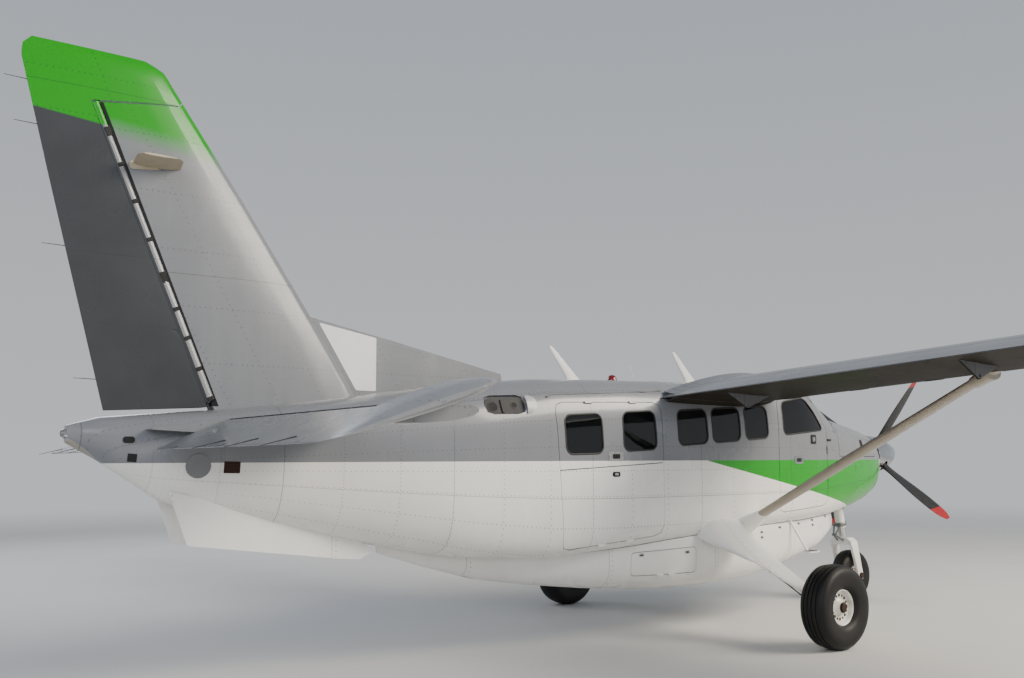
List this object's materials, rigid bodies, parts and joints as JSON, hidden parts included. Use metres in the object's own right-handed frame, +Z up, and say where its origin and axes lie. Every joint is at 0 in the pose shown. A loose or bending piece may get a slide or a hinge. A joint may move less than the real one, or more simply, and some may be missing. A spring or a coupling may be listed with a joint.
{
  "type": "turboprop utility aircraft",
  "caption": "High-wing single-turboprop utility aircraft on fixed tricycle gear, with a belly pod, braced wing, opening doors and moving control surfaces.",
  "frame": {"origin": "on the ground, midway between the rudder's aft tip and the spinner's point, on the centre line", "axes": "+X ahead to the nose, +Y to port (the pilot's left), +Z up"},
  "size_m": [10.41, 13.72, 4.65],
  "materials": {
    "upper_paint": "gloss mid-grey aircraft enamel over riveted aluminium",
    "lower_paint": "gloss white aircraft enamel",
    "wing_paint": "gloss light-grey aircraft enamel",
    "rudder_paint": "gloss charcoal enamel with a green tip",
    "cowl_paint": "gloss bright-green enamel with a white lower edge",
    "gear_paint": "gloss white enamel on steel",
    "window_glass": "clear acrylic sheet",
    "cabin_trim": "matte dark trim",
    "panel_metal": "black crackle paint on aluminium sheet, with the avionics behind it",
    "seat_fabric": "dark woven cloth",
    "engine_metal": "bare cast and machined metal",
    "exhaust_steel": "heat-tinted stainless sheet",
    "tyre_rubber": "matte black rubber",
    "wheel_metal": "white-painted cast aluminium",
    "blade_paint": "matte black blade paint with red and white tips",
    "spinner_metal": "polished spun aluminium"
  },
  "bodies": {
    "airframe": {"cabin_shell": "upper_paint", "cabin_glass_right": "window_glass", "cabin_glass_left": "window_glass", "windscreen": "window_glass", "cabin_floor": "cabin_trim", "instrument_panel": "panel_metal", "crew_seat_right": "seat_fabric", "crew_seat_left": "seat_fabric", "tail_section": "upper_paint", "tail_cone": "upper_paint", "engine_block": "engine_metal", "cowl_lower": "cowl_paint", "exhaust_stub_left": "exhaust_steel", "belly_pod": "lower_paint", "wing_right": "wing_paint", "wing_left": "wing_paint", "wing_strut_right": "lower_paint", "wing_strut_left": "lower_paint", "main_gear_leg_right": "gear_paint", "main_gear_leg_left": "gear_paint", "nose_leg": "gear_paint", "fin": "upper_paint", "dorsal_fin": "upper_paint", "stabiliser_right": "upper_paint", "stabiliser_left": "upper_paint", "ventral_strake_right": "lower_paint", "ventral_strake_left": "lower_paint", "crew_step_right": "gear_paint", "crew_step_left": "gear_paint"},
    "upper_cargo_door": {"cargo_door_upper": "upper_paint", "cargo_door_glass": "window_glass"},
    "lower_cargo_door": {"cargo_door_lower": "lower_paint"},
    "right_crew_door": {"crew_door_right": "upper_paint", "crew_door_glass_right": "window_glass"},
    "left_crew_door": {"crew_door_left": "upper_paint", "crew_door_glass_left": "window_glass"},
    "right_cowl_door": {"cowl_door_right": "upper_paint"},
    "left_cowl_door": {"cowl_door_left": "upper_paint"},
    "pod_hatch": {"pod_door": "lower_paint"},
    "right_flap": {"flap_right": "wing_paint"},
    "left_flap": {"flap_left": "wing_paint"},
    "right_aileron": {"aileron_right": "wing_paint"},
    "left_aileron": {"aileron_left": "wing_paint"},
    "rudder_body": {"rudder": "rudder_paint"},
    "right_elevator": {"elevator_right": "upper_paint"},
    "left_elevator": {"elevator_left": "upper_paint"},
    "right_main_wheel": {"main_tyre_right": "tyre_rubber", "main_rim_right": "wheel_metal"},
    "left_main_wheel": {"main_tyre_left": "tyre_rubber", "main_rim_left": "wheel_metal"},
    "steering_fork": {"nose_fork": "gear_paint"},
    "nose_wheel": {"nose_tyre": "tyre_rubber", "nose_rim": "wheel_metal"},
    "propeller_body": {"propeller": "blade_paint", "spinner": "spinner_metal"}
  },
  "joints": [
    {"name": "propeller_spin", "type": "hinge", "parent": "airframe", "child": "propeller_body", "pos_m": [4.695, 0, 1.72], "axis": [0.9986, 0, 0.0523], "continuous": true},
    {"name": "right_main_wheel_spin", "type": "hinge", "parent": "airframe", "child": "right_main_wheel", "pos_m": [1.245, -1.85, 0.3685], "axis": [0, 1, 0], "continuous": true},
    {"name": "left_main_wheel_spin", "type": "hinge", "parent": "airframe", "child": "left_main_wheel", "pos_m": [1.245, 1.85, 0.3685], "axis": [0, 1, 0], "continuous": true},
    {"name": "nose_steering", "type": "hinge", "parent": "airframe", "child": "steering_fork", "pos_m": [4.016, 0, 0.86], "axis": [-0.2266, 0, 0.974], "range_deg": [-55, 55]},
    {"name": "nose_wheel_spin", "type": "hinge", "parent": "steering_fork", "child": "nose_wheel", "pos_m": [4.165, 0, 0.29], "axis": [0, 1, 0], "continuous": true},
    {"name": "right_crew_door_hinge", "type": "hinge", "parent": "airframe", "child": "right_crew_door", "pos_m": [2.893, -0.655, 1.5865], "axis": [0.0369, 0, 0.9993], "range_deg": [0, 75]},
    {"name": "left_crew_door_hinge", "type": "hinge", "parent": "airframe", "child": "left_crew_door", "pos_m": [2.893, 0.655, 1.5865], "axis": [-0.0369, 0, -0.9993], "range_deg": [0, 75]},
    {"name": "upper_cargo_door_hinge", "type": "hinge", "parent": "airframe", "child": "upper_cargo_door", "pos_m": [-0.3425, -0.682, 2.1855], "axis": [-0.9992, 0.0303, -0.0279], "range_deg": [0, 90]},
    {"name": "lower_cargo_door_hinge", "type": "hinge", "parent": "airframe", "child": "lower_cargo_door", "pos_m": [-0.295, -0.659, 0.9255], "axis": [0.9956, -0.0489, 0.0802], "range_deg": [0, 95]},
    {"name": "right_cowl_door_hinge", "type": "hinge", "parent": "airframe", "child": "right_cowl_door", "pos_m": [3.69, -0.025, 2.0905], "axis": [-0.9899, 0, 0.1421], "range_deg": [0, 70]},
    {"name": "left_cowl_door_hinge", "type": "hinge", "parent": "airframe", "child": "left_cowl_door", "pos_m": [3.69, 0.025, 2.0905], "axis": [0.9899, 0, -0.1421], "range_deg": [0, 70]},
    {"name": "pod_hatch_hinge", "type": "hinge", "parent": "airframe", "child": "pod_hatch", "pos_m": [0.405, -0.593, 0.596], "axis": [0.9964, -0.0832, -0.0126], "range_deg": [0, 95]},
    {"name": "right_flap_hinge", "type": "hinge", "parent": "airframe", "child": "right_flap", "pos_m": [0.817, -2.465, 2.224], "axis": [0.0072, -0.9986, 0.0516], "range_deg": [0, 35]},
    {"name": "left_flap_hinge", "type": "hinge", "parent": "airframe", "child": "left_flap", "pos_m": [0.817, 2.465, 2.224], "axis": [-0.0072, -0.9986, -0.0516], "range_deg": [0, 35]},
    {"name": "right_aileron_hinge", "type": "hinge", "parent": "airframe", "child": "right_aileron", "pos_m": [0.892, -5.34, 2.5304], "axis": [0.0533, -0.9978, 0.0402], "range_deg": [-20, 20]},
    {"name": "left_aileron_hinge", "type": "hinge", "parent": "airframe", "child": "left_aileron", "pos_m": [0.892, 5.34, 2.5304], "axis": [-0.0533, -0.9978, -0.0402], "range_deg": [-20, 20]},
    {"name": "rudder_hinge", "type": "hinge", "parent": "airframe", "child": "rudder_body", "pos_m": [-4.245, 0, 3.155], "axis": [-0.3873, 0, 0.922], "range_deg": [-25, 25]},
    {"name": "right_elevator_hinge", "type": "hinge", "parent": "airframe", "child": "right_elevator", "pos_m": [-3.75, -1.44, 1.925], "axis": [0, 1, 0], "range_deg": [0, 40]},
    {"name": "left_elevator_hinge", "type": "hinge", "parent": "airframe", "child": "left_elevator", "pos_m": [-3.75, 1.44, 1.925], "axis": [0, 1, 0], "range_deg": [0, 40]}
  ],
  "couplings": [
    {"joint": "left_flap_hinge", "follows": "right_flap_hinge", "ratio": 1},
    {"joint": "left_aileron_hinge", "follows": "right_aileron_hinge", "ratio": -1},
    {"joint": "left_elevator_hinge", "follows": "right_elevator_hinge", "ratio": 1}
  ]
}
